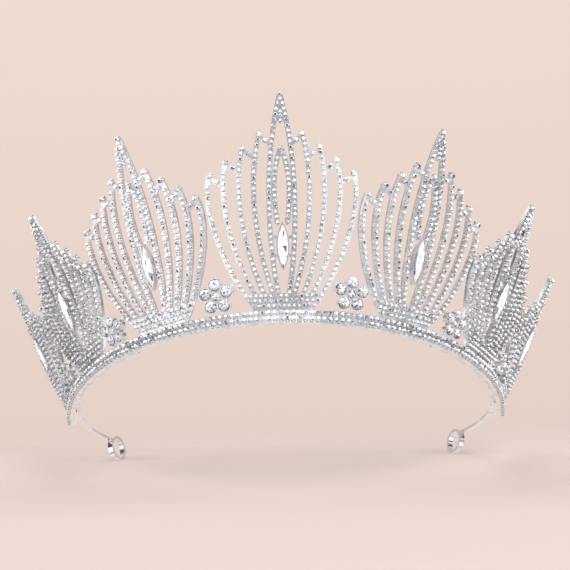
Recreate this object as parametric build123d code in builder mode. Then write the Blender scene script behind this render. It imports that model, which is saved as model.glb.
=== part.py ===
from build123d import *
import os
from math import asin, cos, degrees, radians, sin, sqrt

# Bridal tiara, millimetres. Z is up, -Y is the front, and the origin is the middle of the
# band's circle on the surface that the tiara stands on. An angle round the band is measured
# from the front, positive towards +X. A fan is drawn on the plane that touches its middle
# line, where u runs along the band and v runs up the slope from the band's top edge.

# Band
FACE_RADIUS = 75.0
BAND_HEIGHT = 4.4
BAND_END_ANGLE = 93.0
BAND_WALL = 1.5
BAND_CORNER_RADIUS = 1.6
CHAIN_DEPTH = 1.2
CHAIN_ROW_GAP = 0.1
CHAIN_END_SETBACK = 0.6

# Joints between pieces
SOLDER_GAP = 0.05
NEIGHBOUR_GAP = 0.2

# Fans: the centre one, then each pair outwards
FLARE_ANGLE = 24.5
FAN_HEIGHTS = (69.8, 63.8, 54.7, 47.2)
FAN_HALF_ANGLES = (16.6, 15.6, 13.2, 11.8)
FAN_NAMES = ("centre", "inner", "middle", "end")
FRAME_THICKNESS = 1.0
FULL_REACH = 24.05
WIDEST_LEVEL = 0.87
RIBS_PER_SIDE = (4, 4, 4, 3)
RIB_WIDTH = 1.7
CHAIN_WIDTH = 1.6
RIB_TIP_RADIUS = 1.05
FIRST_RIB_DROP = 13.1
RIB_DROP_STEP = 4.4
LINK_DROP = 1.9
LINK_WIDTH = 1.0
LINK_BEAD_RADIUS = 0.95
BASE_PLATE_HEIGHT = 5.0
BASE_PLATE_DEPTH = 2.5
TIP_PLATE_SHARE = 0.126
INNER_LANCET_SHARE = 0.58

# Control offsets of the curves of a full-width fan, from its middle line
FIRST_RIB_OFFSETS = (1.8, 7.0, 12.0, 7.0)
LAST_RIB_OFFSETS = (9.0, 18.0, 26.5, 23.4)
FIRST_RIB_LEVELS = (0.25, 0.64)
LAST_RIB_LEVELS = (0.25, 0.74)
LANCET_OFFSETS = (0.9, 5.0, 5.8, 0.0)
LANCET_LEVELS = (0.29, 0.69)
INNER_LANCET_OFFSETS = (1.6, 3.0, 2.8, 0.0)
INNER_LANCET_LEVELS = (0.35, 0.75)

# Navette stones and their bezels
NAVETTE_CENTRE = 20.2
NAVETTE_LENGTH = 15.2
NAVETTE_WIDTH = 3.6
NAVETTE_TABLE_SHARE = 0.45
NAVETTE_CROWN = 1.0
NAVETTE_GIRDLE = 1.3
BEZEL_WALL = 0.3
BEZEL_RISE = 0.4
STONE_CLEARANCE = 0.02
SEAT_BAR_WIDTH = 1.0
SEAT_BAR_SPACING = 6.0
SEAT_HOLE_SHARE = 0.6

# Flowers, largest beside the centre fan
FLOWER_SCALES = (1.0, 0.84, 0.74)
FLOWER_FOOT_GAP = 0.25
PETALS = 5
PETAL_STONE_RADIUS = 2.05
CENTRE_STONE_RADIUS = 1.5
PETAL_RING_RADIUS = 3.8
CUP_WALL = 0.25
CUP_HEIGHT = 0.85
FLOWER_CROWN = 0.9
FLOWER_TABLE_SHARE = 0.55
FLOWER_BAR_LEVEL = 2.9
FLOWER_BAR_GAP = 0.3

# Side arms: a flat strip on edge inside the band, turned flat and rolled into an eye
STRIP_WIDTH = 1.8
STRIP_THICKNESS = 0.9
ARM_FRONT_ANGLE = 42.0
ARM_LEAVE_ANGLE = 65.0
ARM_TIGHTENING = 9.75
TWIST_START_ANGLE = 81.0
TWIST_END_ANGLE = 88.0
TWIST_SECTIONS = 5
ARM_REAR_ANGLE = 122.0
EYE_RADIUS = 4.2
EYE_ENTRY_ANGLE = 31.0

CHAIN_BACK = CHAIN_DEPTH
FRAME_FRONT = CHAIN_BACK + SOLDER_GAP
FRAME_BACK = FRAME_FRONT + FRAME_THICKNESS
RAIL_RADIUS = FACE_RADIUS - CHAIN_DEPTH - SOLDER_GAP
RAIL_INNER_RADIUS = RAIL_RADIUS - BAND_WALL
ARM_RADIUS = RAIL_INNER_RADIUS - SOLDER_GAP - STRIP_THICKNESS / 2
FAN_BOTTOM = BAND_HEIGHT + SOLDER_GAP
FLARE_SIN = sin(radians(FLARE_ANGLE))
FLARE_COS = cos(radians(FLARE_ANGLE))

os.makedirs("parts", exist_ok=True)


def write(builder_part, name):
    """Labels a finished piece and writes it as its own STEP file."""
    builder_part.label = name
    export_step(builder_part, f"parts/{name}.step")


def mix(first, last, share):
    return first + (last - first) * share


def out_direction(angle):
    """The unit vector from the band's middle to its rim at an angle."""
    return Vector(sin(radians(angle)), -cos(radians(angle)), 0)


def along_direction(angle):
    """The unit vector along the band at an angle, towards larger angles."""
    return Vector(cos(radians(angle)), sin(radians(angle)), 0)


def radial_plane(angle):
    """The upright plane through the Z axis at an angle: x is the radius and y is the height."""
    return Plane(origin=(0, 0, 0), x_dir=out_direction(angle), z_dir=-along_direction(angle))


def fan_plane(angle):
    """The plane that touches the front of the flared shell at an angle, with v = 0 on the band."""
    outward = out_direction(angle) * FLARE_COS - Vector(0, 0, FLARE_SIN)
    rim = out_direction(angle) * FACE_RADIUS + Vector(0, 0, BAND_HEIGHT)
    return Plane(origin=rim, x_dir=along_direction(angle), z_dir=outward)


def fan_angle(pair):
    """The angle of a fan's middle line, so that neighbours meet at their half angles."""
    return sum(FAN_HALF_ANGLES[k] + FAN_HALF_ANGLES[k + 1] for k in range(pair))


def shell_radius(v):
    """The radius of the flared shell's front at a distance v up its slope."""
    return FACE_RADIUS + v * FLARE_SIN


def rib_height(pair, rib):
    return FAN_HEIGHTS[pair] - FIRST_RIB_DROP - RIB_DROP_STEP * rib


def width_scale(pair):
    """The scale that brings a fan's widest ribs to its half angle, short of its neighbours."""
    widest = rib_height(pair, RIBS_PER_SIDE[pair] - 1) * WIDEST_LEVEL
    back_radius = shell_radius(widest) - FRAME_BACK / FLARE_COS
    reach = back_radius * sin(radians(FAN_HALF_ANGLES[pair]))
    return (reach - NEIGHBOUR_GAP / 2 - RIB_WIDTH / 2) / FULL_REACH


def slim_scale(pair):
    """The scale of a fan's middle, which narrows half as much as its edge does."""
    return (1 + width_scale(pair)) / 2


def curve_point(points, t):
    """A point at t on the cubic curve with four control points."""
    weights = ((1 - t) ** 3, 3 * (1 - t) ** 2 * t, 3 * (1 - t) * t**2, t**3)
    u = sum(w * p[0] for w, p in zip(weights, points))
    v = sum(w * p[1] for w, p in zip(weights, points))
    return u, v


def offset_at(points, v):
    """The u of a rising curve where it passes a level v."""
    low, high = 0.0, 1.0
    for _ in range(40):
        middle = (low + high) / 2
        if curve_point(points, middle)[1] < v:
            low = middle
        else:
            high = middle
    return curve_point(points, low)[0]


def edge_at(points, v):
    """The u of the outer edge of a rib where it passes a level v."""
    step = RIB_WIDTH / 2
    slope = (offset_at(points, v + step) - offset_at(points, v - step)) / (2 * step)
    return offset_at(points, v) + RIB_WIDTH / 2 * sqrt(1 + slope**2)


def rib_curve(pair, rib):
    """The middle line of a rib on the +u side: rib 0 is beside the lancet, the last is outermost."""
    share = rib / (RIBS_PER_SIDE[pair] - 1)
    tip = rib_height(pair, rib)
    levels = [0.0] + [tip * mix(a, b, share) for a, b in zip(FIRST_RIB_LEVELS, LAST_RIB_LEVELS)]
    first = [offset * slim_scale(pair) for offset in FIRST_RIB_OFFSETS]
    last = [offset * width_scale(pair) for offset in LAST_RIB_OFFSETS]
    offsets = [mix(a, b, share) for a, b in zip(first, last)]
    return list(zip(offsets, levels + [tip]))


def lancet_curve(pair):
    """The middle line of the outer lancet's leg on the +u side."""
    height = FAN_HEIGHTS[pair]
    levels = [0.0, height * LANCET_LEVELS[0], height * LANCET_LEVELS[1], height]
    return [(offset * slim_scale(pair), v) for offset, v in zip(LANCET_OFFSETS, levels)]


def inner_lancet_curve(pair):
    """The middle line of the inner lancet's leg on the +u side, from the navette upwards."""
    foot = NAVETTE_CENTRE + NAVETTE_LENGTH / 2
    rise = (FAN_HEIGHTS[pair] - foot) * INNER_LANCET_SHARE
    levels = [foot, foot + rise * INNER_LANCET_LEVELS[0], foot + rise * INNER_LANCET_LEVELS[1]]
    offsets = [offset * slim_scale(pair) for offset in INNER_LANCET_OFFSETS]
    return list(zip(offsets, levels + [foot + rise]))


def link_points(pair, rib):
    """The tip of a rib, and the place on its inner neighbour that the link reaches."""
    tip = rib_curve(pair, rib)[3]
    neighbour = rib_curve(pair, rib - 1) if rib else lancet_curve(pair)
    reach = tip[1] - 2 * LINK_DROP
    return tip, (offset_at(neighbour, reach), reach)


def stroke(points, width):
    """Adds a curved strip of constant width and its mirror image to the sketch."""
    for side in (1, -1):
        with BuildLine() as middle:
            Bezier(*[(side * u, v) for u, v in points])
        trace(middle.line, line_width=width)


def discs(point, radius):
    with Locations(point, (-point[0], point[1])):
        Circle(radius)


def rib_outline(pair, width):
    """Adds every rib with its rounded tip, and the beads that link neighbouring ribs."""
    for rib in range(RIBS_PER_SIDE[pair]):
        tip, foot = link_points(pair, rib)
        stroke(rib_curve(pair, rib), width)
        discs(tip, RIB_TIP_RADIUS)
        discs(((tip[0] + foot[0]) / 2, (tip[1] + foot[1]) / 2), LINK_BEAD_RADIUS)


def link_outline(pair):
    """Adds the short bars from each rib's tip to its inner neighbour."""
    for rib in range(RIBS_PER_SIDE[pair]):
        tip, foot = link_points(pair, rib)
        for side in (1, -1):
            with BuildLine() as middle:
                Line((side * tip[0], tip[1]), (side * foot[0], foot[1]))
            trace(middle.line, line_width=LINK_WIDTH)


def base_outline(pair):
    """Adds the plate where the ribs run together above the band."""
    rib = rib_curve(pair, RIBS_PER_SIDE[pair] - 1)
    bottom = rib[0][0] + RIB_WIDTH / 2
    top = edge_at(rib, BASE_PLATE_HEIGHT)
    with BuildLine() as outline:
        Polyline(
            (-bottom, -BASE_PLATE_DEPTH),
            (bottom, -BASE_PLATE_DEPTH),
            (bottom, 0),
            (top, BASE_PLATE_HEIGHT),
            (-top, BASE_PLATE_HEIGHT),
            (-bottom, 0),
            close=True,
        )
    make_face(outline.edges())


def tip_outline(pair):
    """Adds the solid point of the outer lancet."""
    height = FAN_HEIGHTS[pair]
    level = height * (1 - TIP_PLATE_SHARE)
    reach = offset_at(lancet_curve(pair), level)
    with BuildLine() as outline:
        Polyline((-reach, level), (reach, level), (0, height), close=True)
    make_face(outline.edges())
    discs((0, height), CHAIN_WIDTH / 2)


def lancet_outline(pair, width):
    stroke(lancet_curve(pair), width)
    stroke(inner_lancet_curve(pair), width)
    tip_outline(pair)


def navette_outline(length, width, mode=Mode.ADD):
    """Adds a boat shape of two arcs with its middle on the navette's centre."""
    top = (0, NAVETTE_CENTRE + length / 2)
    bottom = (0, NAVETTE_CENTRE - length / 2)
    with BuildLine() as outline:
        ThreePointArc(bottom, (width / 2, NAVETTE_CENTRE), top)
        ThreePointArc(top, (-width / 2, NAVETTE_CENTRE), bottom)
    make_face(outline.edges(), mode=mode)


def seat_outline(pair):
    """Adds the open boat-shaped seat behind the navette and the bars that carry it."""
    length = NAVETTE_LENGTH + 2 * BEZEL_WALL
    width = NAVETTE_WIDTH + 2 * BEZEL_WALL
    bar = 2 * offset_at(lancet_curve(pair), NAVETTE_CENTRE)
    with Locations(*[(0, NAVETTE_CENTRE + s * SEAT_BAR_SPACING / 2) for s in (1, -1)]):
        Rectangle(bar, SEAT_BAR_WIDTH)
    navette_outline(length, width)
    navette_outline(length * SEAT_HOLE_SHARE, width * SEAT_HOLE_SHARE, Mode.SUBTRACT)


def keep_shell_layer(pair, angle, front, back):
    """Keeps what lies between two depths behind the front of the flared shell."""
    half_angle = FAN_HALF_ANGLES[pair] + 3
    height = BAND_HEIGHT + (FAN_HEIGHTS[pair] + 4) * FLARE_COS
    slope = FLARE_SIN / FLARE_COS
    edges = [FACE_RADIUS - depth / FLARE_COS - BAND_HEIGHT * slope for depth in (front, back)]
    with BuildSketch(radial_plane(angle - half_angle)) as section:
        with BuildLine():
            Polyline(
                (edges[0] + FAN_BOTTOM * slope, FAN_BOTTOM),
                (edges[0] + height * slope, height),
                (edges[1] + height * slope, height),
                (edges[1] + FAN_BOTTOM * slope, FAN_BOTTOM),
                close=True,
            )
        make_face()
    revolve(section.sketch, axis=Axis.Z, revolution_arc=2 * half_angle, mode=Mode.INTERSECT)


def make_frame(pair, angle, name):
    with BuildPart() as frame:
        with BuildSketch(fan_plane(angle)):
            rib_outline(pair, RIB_WIDTH)
            link_outline(pair)
            lancet_outline(pair, RIB_WIDTH)
            base_outline(pair)
            seat_outline(pair)
        extrude(amount=FACE_RADIUS / 4, both=True)
        keep_shell_layer(pair, angle, FRAME_FRONT, FRAME_BACK)
    write(frame.part, f"{name}_frame")


def make_rib_chains(pair, angle, name):
    reach = 2 * FULL_REACH
    with BuildPart() as chains:
        with BuildSketch(fan_plane(angle)):
            rib_outline(pair, CHAIN_WIDTH)
            lancet_zone(pair, Mode.SUBTRACT)
            with Locations((0, BASE_PLATE_HEIGHT + SOLDER_GAP)):
                Rectangle(2 * reach, reach, align=(Align.CENTER, Align.MAX), mode=Mode.SUBTRACT)
        extrude(amount=FACE_RADIUS / 4, both=True)
        keep_shell_layer(pair, angle, 0, CHAIN_BACK)
    write(chains.part, f"{name}_rib_chains")


def lancet_zone(pair, mode):
    """The outline of the lancet's own settings with a narrow margin round them."""
    for side in (1, -1):
        with BuildLine() as middle:
            Bezier(*[(side * u, v) for u, v in lancet_curve(pair)])
        trace(middle.line, line_width=CHAIN_WIDTH + 2 * SOLDER_GAP, mode=mode)


def make_pave(pair, angle, name):
    length = NAVETTE_LENGTH + 2 * (BEZEL_WALL + SOLDER_GAP)
    width = NAVETTE_WIDTH + 2 * (BEZEL_WALL + SOLDER_GAP)
    with BuildPart() as pave:
        with BuildSketch(fan_plane(angle)):
            lancet_outline(pair, CHAIN_WIDTH)
            base_outline(pair)
            navette_outline(length, width, Mode.SUBTRACT)
        extrude(amount=FACE_RADIUS / 4, both=True)
        keep_shell_layer(pair, angle, 0, CHAIN_BACK)
    write(pave.part, f"{name}_pave")


def make_navette(angle, name):
    length = NAVETTE_LENGTH + 2 * BEZEL_WALL
    width = NAVETTE_WIDTH + 2 * BEZEL_WALL
    base = fan_plane(angle).offset(-CHAIN_DEPTH)
    with BuildPart() as bezel:
        with BuildSketch(base):
            navette_outline(length, width)
            navette_outline(NAVETTE_LENGTH, NAVETTE_WIDTH, Mode.SUBTRACT)
        extrude(amount=CHAIN_DEPTH + BEZEL_RISE)
    write(bezel.part, f"{name}_bezel")
    girdle_length = NAVETTE_LENGTH - 2 * STONE_CLEARANCE
    girdle_width = NAVETTE_WIDTH - 2 * STONE_CLEARANCE
    girdle = base.offset(NAVETTE_GIRDLE)
    with BuildPart() as stone:
        with BuildSketch(base):
            navette_outline(girdle_length, girdle_width)
        extrude(amount=NAVETTE_GIRDLE)
        with BuildSketch(girdle):
            navette_outline(girdle_length, girdle_width)
        with BuildSketch(girdle.offset(NAVETTE_CROWN)):
            navette_outline(girdle_length * NAVETTE_TABLE_SHARE, girdle_width * NAVETTE_TABLE_SHARE)
        loft(ruled=True)
    write(stone.part, f"{name}_navette")


def petal_places(ring):
    return PolarLocations(ring, PETALS, start_angle=90)


def flower_bar_reach(pair, level):
    """How far the outermost rib of a fan lies from the line between two fans, along u."""
    rib = edge_at(rib_curve(pair, RIBS_PER_SIDE[pair] - 1), level + LINK_WIDTH / 2)
    angle = FAN_HALF_ANGLES[pair] - degrees(asin(rib / shell_radius(level)))
    return shell_radius(level) * sin(radians(angle)) - FLOWER_BAR_GAP


def make_flower(pair, side, name):
    """A flower between a fan and the next one outwards."""
    scale = FLOWER_SCALES[pair]
    ring = PETAL_RING_RADIUS * scale
    petal = PETAL_STONE_RADIUS * scale
    centre = CENTRE_STONE_RADIUS * scale
    foot = ring * sin(radians(90 - 180 / PETALS)) + petal + CUP_WALL
    level = FLOWER_FOOT_GAP + foot
    bar = FLOWER_BAR_LEVEL * scale
    inner = flower_bar_reach(pair, level + bar)
    outer = flower_bar_reach(pair + 1, level + bar)
    angle = side * (fan_angle(pair) + FAN_HALF_ANGLES[pair])
    plane = fan_plane(angle)
    plane = plane.shift_origin(plane.from_local_coords((0, level, 0)))
    back = plane.offset(-FRAME_BACK)
    with BuildPart() as setting:
        with BuildSketch(back):
            Circle(ring)
            with petal_places(ring):
                Circle(petal + CUP_WALL)
            with Locations((side * (outer - inner) / 2, bar)):
                Rectangle(inner + outer, LINK_WIDTH)
        extrude(amount=FRAME_THICKNESS)
        with BuildSketch(back.offset(FRAME_THICKNESS)):
            Circle(centre + CUP_WALL)
            with petal_places(ring):
                Circle(petal + CUP_WALL)
            Circle(centre, mode=Mode.SUBTRACT)
            with petal_places(ring):
                Circle(petal, mode=Mode.SUBTRACT)
        extrude(amount=CUP_HEIGHT)
    write(setting.part, f"{name}_setting")
    seat = back.offset(FRAME_THICKNESS + STONE_CLEARANCE)
    with BuildPart() as stones:
        with Locations(Location(seat)):
            cut_stone(centre - STONE_CLEARANCE)
            with petal_places(ring):
                cut_stone(petal - STONE_CLEARANCE)
    write(stones.part, f"{name}_stones")


def cut_stone(radius):
    """Adds a round stone: a straight girdle in its cup, and the cut crown above it."""
    bottom = (Align.CENTER, Align.CENTER, Align.MIN)
    Cylinder(radius, CUP_HEIGHT, align=bottom)
    with Locations((0, 0, CUP_HEIGHT)):
        Cone(radius, radius * FLOWER_TABLE_SHARE, FLOWER_CROWN, align=bottom)


def band_ring(inner, outer, bottom, top, end_angle):
    """Adds an upright wall round the front of the band."""
    with BuildSketch(radial_plane(-end_angle)) as section:
        with Locations(((inner + outer) / 2, (bottom + top) / 2)):
            Rectangle(outer - inner, top - bottom)
    revolve(section.sketch, axis=Axis.Z, revolution_arc=2 * end_angle)


def make_band():
    with BuildPart() as rail:
        band_ring(RAIL_INNER_RADIUS, RAIL_RADIUS, 0, BAND_HEIGHT, BAND_END_ANGLE)
        corners = [e for e in rail.edges() if abs(e.length - BAND_WALL) < SOLDER_GAP / 10]
        fillet(corners, BAND_CORNER_RADIUS)
    write(rail.part, "band_rail")
    setback = degrees(CHAIN_END_SETBACK / FACE_RADIUS)
    middle = BAND_HEIGHT / 2
    rows = {
        "band_chain_lower": (CHAIN_ROW_GAP, middle - CHAIN_ROW_GAP / 2),
        "band_chain_upper": (middle + CHAIN_ROW_GAP / 2, BAND_HEIGHT),
    }
    for name, (bottom, top) in rows.items():
        with BuildPart() as row:
            end_angle = BAND_END_ANGLE - setback
            band_ring(FACE_RADIUS - CHAIN_DEPTH, FACE_RADIUS, bottom, top, end_angle)
        write(row.part, name)


def make_arms():
    """The right arm, which leaves the band tangentially on a tighter arc, and its mirror image."""
    level = STRIP_WIDTH / 2
    rear = ARM_RADIUS - ARM_TIGHTENING
    rear_centre = out_direction(ARM_LEAVE_ANGLE) * (ARM_RADIUS - rear) + Vector(0, 0, level)

    # The flat rear of the strip climbs a ramp from the twist to the top of the eye's wall.
    eye_wall_middle = EYE_RADIUS - STRIP_THICKNESS / 2
    entry = radians(EYE_ENTRY_ANGLE)
    climb = EYE_RADIUS + eye_wall_middle * sin(entry) - level
    start = rear * out_direction(TWIST_END_ANGLE)
    end = rear * out_direction(ARM_REAR_ANGLE)
    pitch = asin(climb / (end - start).Y)
    ramp_up = Vector(0, -sin(pitch), cos(pitch))
    ramp = Plane(rear_centre + start, x_dir=(1, 0, 0), z_dir=ramp_up)
    ramp_centre = ramp.from_local_coords(-start)
    ramp_end = ramp.from_local_coords(end - start)
    ramp_out = (ramp.origin - ramp_centre).normalized()
    ramp_start_plane = Plane(ramp_centre, x_dir=ramp_out, z_dir=-ramp_up.cross(ramp_out))

    heading = along_direction(ARM_REAR_ANGLE)
    drop = Vector(0, 0, eye_wall_middle * sin(entry))
    eye_centre = ramp_end + heading * eye_wall_middle * cos(entry) - drop
    eye_plane = Plane(eye_centre, x_dir=heading, z_dir=out_direction(ARM_REAR_ANGLE))

    with BuildPart() as arm:
        with BuildSketch(radial_plane(ARM_FRONT_ANGLE)):
            with Locations((ARM_RADIUS, level)):
                Rectangle(STRIP_THICKNESS, STRIP_WIDTH)
        revolve(axis=Axis.Z, revolution_arc=ARM_LEAVE_ANGLE - ARM_FRONT_ANGLE)
        with BuildSketch(radial_plane(ARM_LEAVE_ANGLE)):
            with Locations((ARM_RADIUS, level)):
                Rectangle(STRIP_THICKNESS, STRIP_WIDTH)
        revolve(axis=Axis(rear_centre, (0, 0, 1)), revolution_arc=TWIST_START_ANGLE - ARM_LEAVE_ANGLE)
        for section in range(TWIST_SECTIONS):
            share = section / (TWIST_SECTIONS - 1)
            angle = mix(TWIST_START_ANGLE, TWIST_END_ANGLE, share)
            turned = radial_plane(angle)
            turned.origin = rear_centre
            with BuildSketch(ramp_start_plane if share == 1 else turned):
                with Locations(Location((rear, 0, 0), (0, 0, 90 * share))):
                    Rectangle(STRIP_THICKNESS, STRIP_WIDTH)
        loft()
        with BuildSketch(ramp_start_plane):
            with Locations((rear, 0)):
                Rectangle(STRIP_WIDTH, STRIP_THICKNESS)
        arc = ARM_REAR_ANGLE - TWIST_END_ANGLE
        revolve(axis=Axis(ramp_centre, ramp_up), revolution_arc=arc)
        with BuildSketch(eye_plane):
            Circle(EYE_RADIUS)
        extrude(amount=STRIP_WIDTH / 2, both=True)
        with BuildSketch(eye_plane):
            Circle(EYE_RADIUS - STRIP_THICKNESS)
        extrude(amount=STRIP_WIDTH, both=True, mode=Mode.SUBTRACT)
    write(arm.part, "side_arm_right")
    write(mirror(arm.part, about=Plane.YZ), "side_arm_left")


def make_fan(pair, side, name):
    angle = side * fan_angle(pair)
    make_frame(pair, angle, name)
    make_rib_chains(pair, angle, name)
    make_pave(pair, angle, name)
    make_navette(angle, name)


make_band()
make_arms()
make_fan(0, 1, f"fan_{FAN_NAMES[0]}")
for pair in range(1, len(FAN_NAMES)):
    for side, hand in ((-1, "left"), (1, "right")):
        make_fan(pair, side, f"fan_{FAN_NAMES[pair]}_{hand}")
        make_flower(pair - 1, side, f"flower_{FAN_NAMES[pair]}_{hand}")
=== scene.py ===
import math
import random

import bpy
from mathutils import Matrix, Vector


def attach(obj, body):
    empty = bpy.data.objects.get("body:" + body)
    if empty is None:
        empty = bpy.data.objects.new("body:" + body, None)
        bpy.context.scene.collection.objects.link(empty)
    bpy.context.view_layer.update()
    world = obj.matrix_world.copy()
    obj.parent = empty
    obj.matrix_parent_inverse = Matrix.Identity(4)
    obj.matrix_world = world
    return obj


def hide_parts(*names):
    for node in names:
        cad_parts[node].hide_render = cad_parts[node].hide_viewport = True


bl_info = {
    "name": "Bridal Tiara",
    "version": (1, 0, 0),
    "blender": (4, 5, 0),
    "location": "View3D > Sidebar > Tiara",
    "description": "Settings, stones, metal and stage of a bridal tiara",
    "category": "Object",
}

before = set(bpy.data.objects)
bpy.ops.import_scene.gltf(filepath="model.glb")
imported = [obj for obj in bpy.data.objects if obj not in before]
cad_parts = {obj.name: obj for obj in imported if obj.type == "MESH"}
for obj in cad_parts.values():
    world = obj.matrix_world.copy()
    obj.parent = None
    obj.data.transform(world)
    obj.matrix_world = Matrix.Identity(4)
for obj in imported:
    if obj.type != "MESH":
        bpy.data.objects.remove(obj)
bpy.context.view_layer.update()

MM = 0.001
ROOT = "root"

# The tiara's layout, in millimetres and degrees, as the CAD frame has it
FACE_RADIUS = 75.0
BAND_HEIGHT = 4.4
BAND_END_ANGLE = 93.0
FLARE_ANGLE = 24.5
FAN_NAMES = ("centre", "inner", "middle", "end")
FAN_HEIGHTS = (69.8, 63.8, 54.7, 47.2)
FAN_HALF_ANGLES = (16.6, 15.6, 13.2, 11.8)
RIBS_PER_SIDE = (4, 4, 4, 3)
RIB_WIDTH = 1.7
NEIGHBOUR_GAP = 0.2
FULL_REACH = 24.05
WIDEST_LEVEL = 0.87
FIRST_RIB_DROP = 13.1
RIB_DROP_STEP = 4.4
LINK_DROP = 1.9
BASE_PLATE_HEIGHT = 5.0
FIRST_RIB_OFFSETS = (1.8, 7.0, 12.0, 7.0)
LAST_RIB_OFFSETS = (9.0, 18.0, 26.5, 23.4)
FIRST_RIB_LEVELS = (0.25, 0.64)
LAST_RIB_LEVELS = (0.25, 0.74)
LANCET_OFFSETS = (0.9, 5.0, 5.8, 0.0)
LANCET_LEVELS = (0.29, 0.69)
INNER_LANCET_OFFSETS = (1.6, 3.0, 2.8, 0.0)
INNER_LANCET_LEVELS = (0.35, 0.75)
INNER_LANCET_SHARE = 0.58
TIP_PLATE_SHARE = 0.126
CHAIN_DEPTH = 1.2
NAVETTE_CENTRE = 20.2
NAVETTE_LENGTH = 15.2
NAVETTE_WIDTH = 3.6
NAVETTE_GIRDLE = 1.3
NAVETTE_CROWN = 1.0
BEZEL_WALL = 0.3
BEZEL_RISE = 0.4
FLOWER_SCALES = (1.0, 0.84, 0.74)
FLOWER_FOOT_GAP = 0.25
PETALS = 5
PETAL_STONE_RADIUS = 2.05
CENTRE_STONE_RADIUS = 1.5
PETAL_RING_RADIUS = 3.8
CUP_WALL = 0.25
CUP_HEIGHT = 0.85
FRAME_FRONT = 1.25
FRAME_BACK = 2.25
FLOWER_CROWN = 0.9

FLARE = math.radians(FLARE_ANGLE)
FLARE_SIN = math.sin(FLARE)
FLARE_COS = math.cos(FLARE)


# ---------------------------------------------------------------- settings of the add-on


class TiaraStoneSettings(bpy.types.PropertyGroup):
    """Sizes of the small stones and their cups"""

    cup_diameter: bpy.props.FloatProperty(
        name="Cup diameter",
        description="Width of one small cup of the rib chains",
        default=1.66 * MM,
        unit="LENGTH",
        precision=5,
    )
    pitch: bpy.props.FloatProperty(
        name="Stone pitch",
        description="Distance between neighbouring stones of the rib chains",
        default=1.8 * MM,
        unit="LENGTH",
        precision=5,
    )
    band_cup_diameter: bpy.props.FloatProperty(
        name="Band cup diameter",
        description="Width of one cup of the band's two rows",
        default=1.94 * MM,
        unit="LENGTH",
        precision=5,
    )
    band_pitch: bpy.props.FloatProperty(
        name="Band pitch",
        description="Distance between neighbouring stones of the band",
        default=2.02 * MM,
        unit="LENGTH",
        precision=5,
    )
    table_lift: bpy.props.FloatProperty(
        name="Table lift",
        description="How far a stone's table stands in front of its claws",
        default=0.1 * MM,
        unit="LENGTH",
        precision=5,
    )


class TiaraFinishSettings(bpy.types.PropertyGroup):
    """Colours of the metal and the stones"""

    silver: bpy.props.FloatVectorProperty(
        name="Silver",
        description="Colour of the bright plating",
        subtype="COLOR",
        size=3,
        default=(0.92, 0.92, 0.93),
    )
    # Tarnish and painted shade: a darker plating colour, mixed into the silver in random noise clouds,
    # that stands for tarnish and for shade on the frames. The clouds are random and are not placed in
    # corners.
    tarnish_and_shade: bpy.props.FloatVectorProperty(
        name="Tarnish and shade",
        description="Colour of the plating in corners and thin places",
        subtype="COLOR",
        size=3,
        default=(0.38, 0.39, 0.42),
    )
    # Painted highlights and reflections: the three crystal colours below paint the light each facet
    # catches into its base colour, as bright, half-lit grey or dark.
    crystal: bpy.props.FloatVectorProperty(
        name="Crystal",
        description="Colour of the brightest facets",
        subtype="COLOR",
        size=3,
        default=(0.9, 0.905, 0.93),
    )
    crystal_painted_grey: bpy.props.FloatVectorProperty(
        name="Crystal grey",
        description="Colour of the facets that turn half away",
        subtype="COLOR",
        size=3,
        default=(0.36, 0.4, 0.48),
    )
    # Painted dark reflection: facets that would mirror dark surroundings are painted nearly black.
    crystal_painted_dark: bpy.props.FloatVectorProperty(
        name="Crystal dark",
        description="Colour of the facets that show the stone's dark inside",
        subtype="COLOR",
        size=3,
        default=(0.05, 0.055, 0.07),
    )


class TiaraStageSettings(bpy.types.PropertyGroup):
    """Paper, lamps and camera"""

    paper: bpy.props.FloatVectorProperty(
        name="Paper",
        description="Colour of the seamless paper",
        subtype="COLOR",
        size=3,
        default=(0.745, 0.61, 0.56),
    )
    # Painted shade: the sheet is the same paper as the floor, painted a little darker and bluer than the
    # floor paper.
    sheet: bpy.props.FloatVectorProperty(
        name="Sheet",
        description="Colour of the sheet that the tiara lies on",
        subtype="COLOR",
        size=3,
        default=(0.70, 0.575, 0.535),
    )
    # Painted light: the far paper is a lighter copy of the paper colour, painted where the backdrop
    # catches more light.
    paper_top_painted_light: bpy.props.FloatVectorProperty(
        name="Paper, far",
        description="Colour of the paper high behind the tiara",
        subtype="COLOR",
        size=3,
        default=(0.871, 0.716, 0.635),
    )
    sheet_lean: bpy.props.FloatProperty(
        name="Sheet lean",
        description="Slope of the sheet that the leaning tiara lies on",
        default=math.radians(35.3),
        subtype="ANGLE",
    )
    camera_distance: bpy.props.FloatProperty(
        name="Camera distance",
        description="Distance from the lens to the band's centre",
        default=1.1165,
        unit="LENGTH",
    )
    camera_rise: bpy.props.FloatProperty(
        name="Camera rise",
        description="Angle at which the lens looks up at the leaning tiara",
        default=math.radians(27.25),
        subtype="ANGLE",
    )
    camera_turn: bpy.props.FloatProperty(
        name="Camera turn",
        description="Angle of the lens away from the tiara's middle plane",
        default=math.radians(0.2),
        subtype="ANGLE",
    )
    camera_roll: bpy.props.FloatProperty(
        name="Camera roll",
        description="Tilt of the horizon",
        default=math.radians(1.28),
        subtype="ANGLE",
    )
    lamp_power: bpy.props.FloatProperty(
        name="Lamp power",
        description="Power of the main softbox",
        default=5.0,
        unit="POWER",
    )


# ---------------------------------------------------------------- curves and places


def mix(first, last, share):
    return first + (last - first) * share


def fan_angle(pair):
    return sum(FAN_HALF_ANGLES[k] + FAN_HALF_ANGLES[k + 1] for k in range(pair))


def rib_height(pair, rib):
    return FAN_HEIGHTS[pair] - FIRST_RIB_DROP - RIB_DROP_STEP * rib


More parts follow.
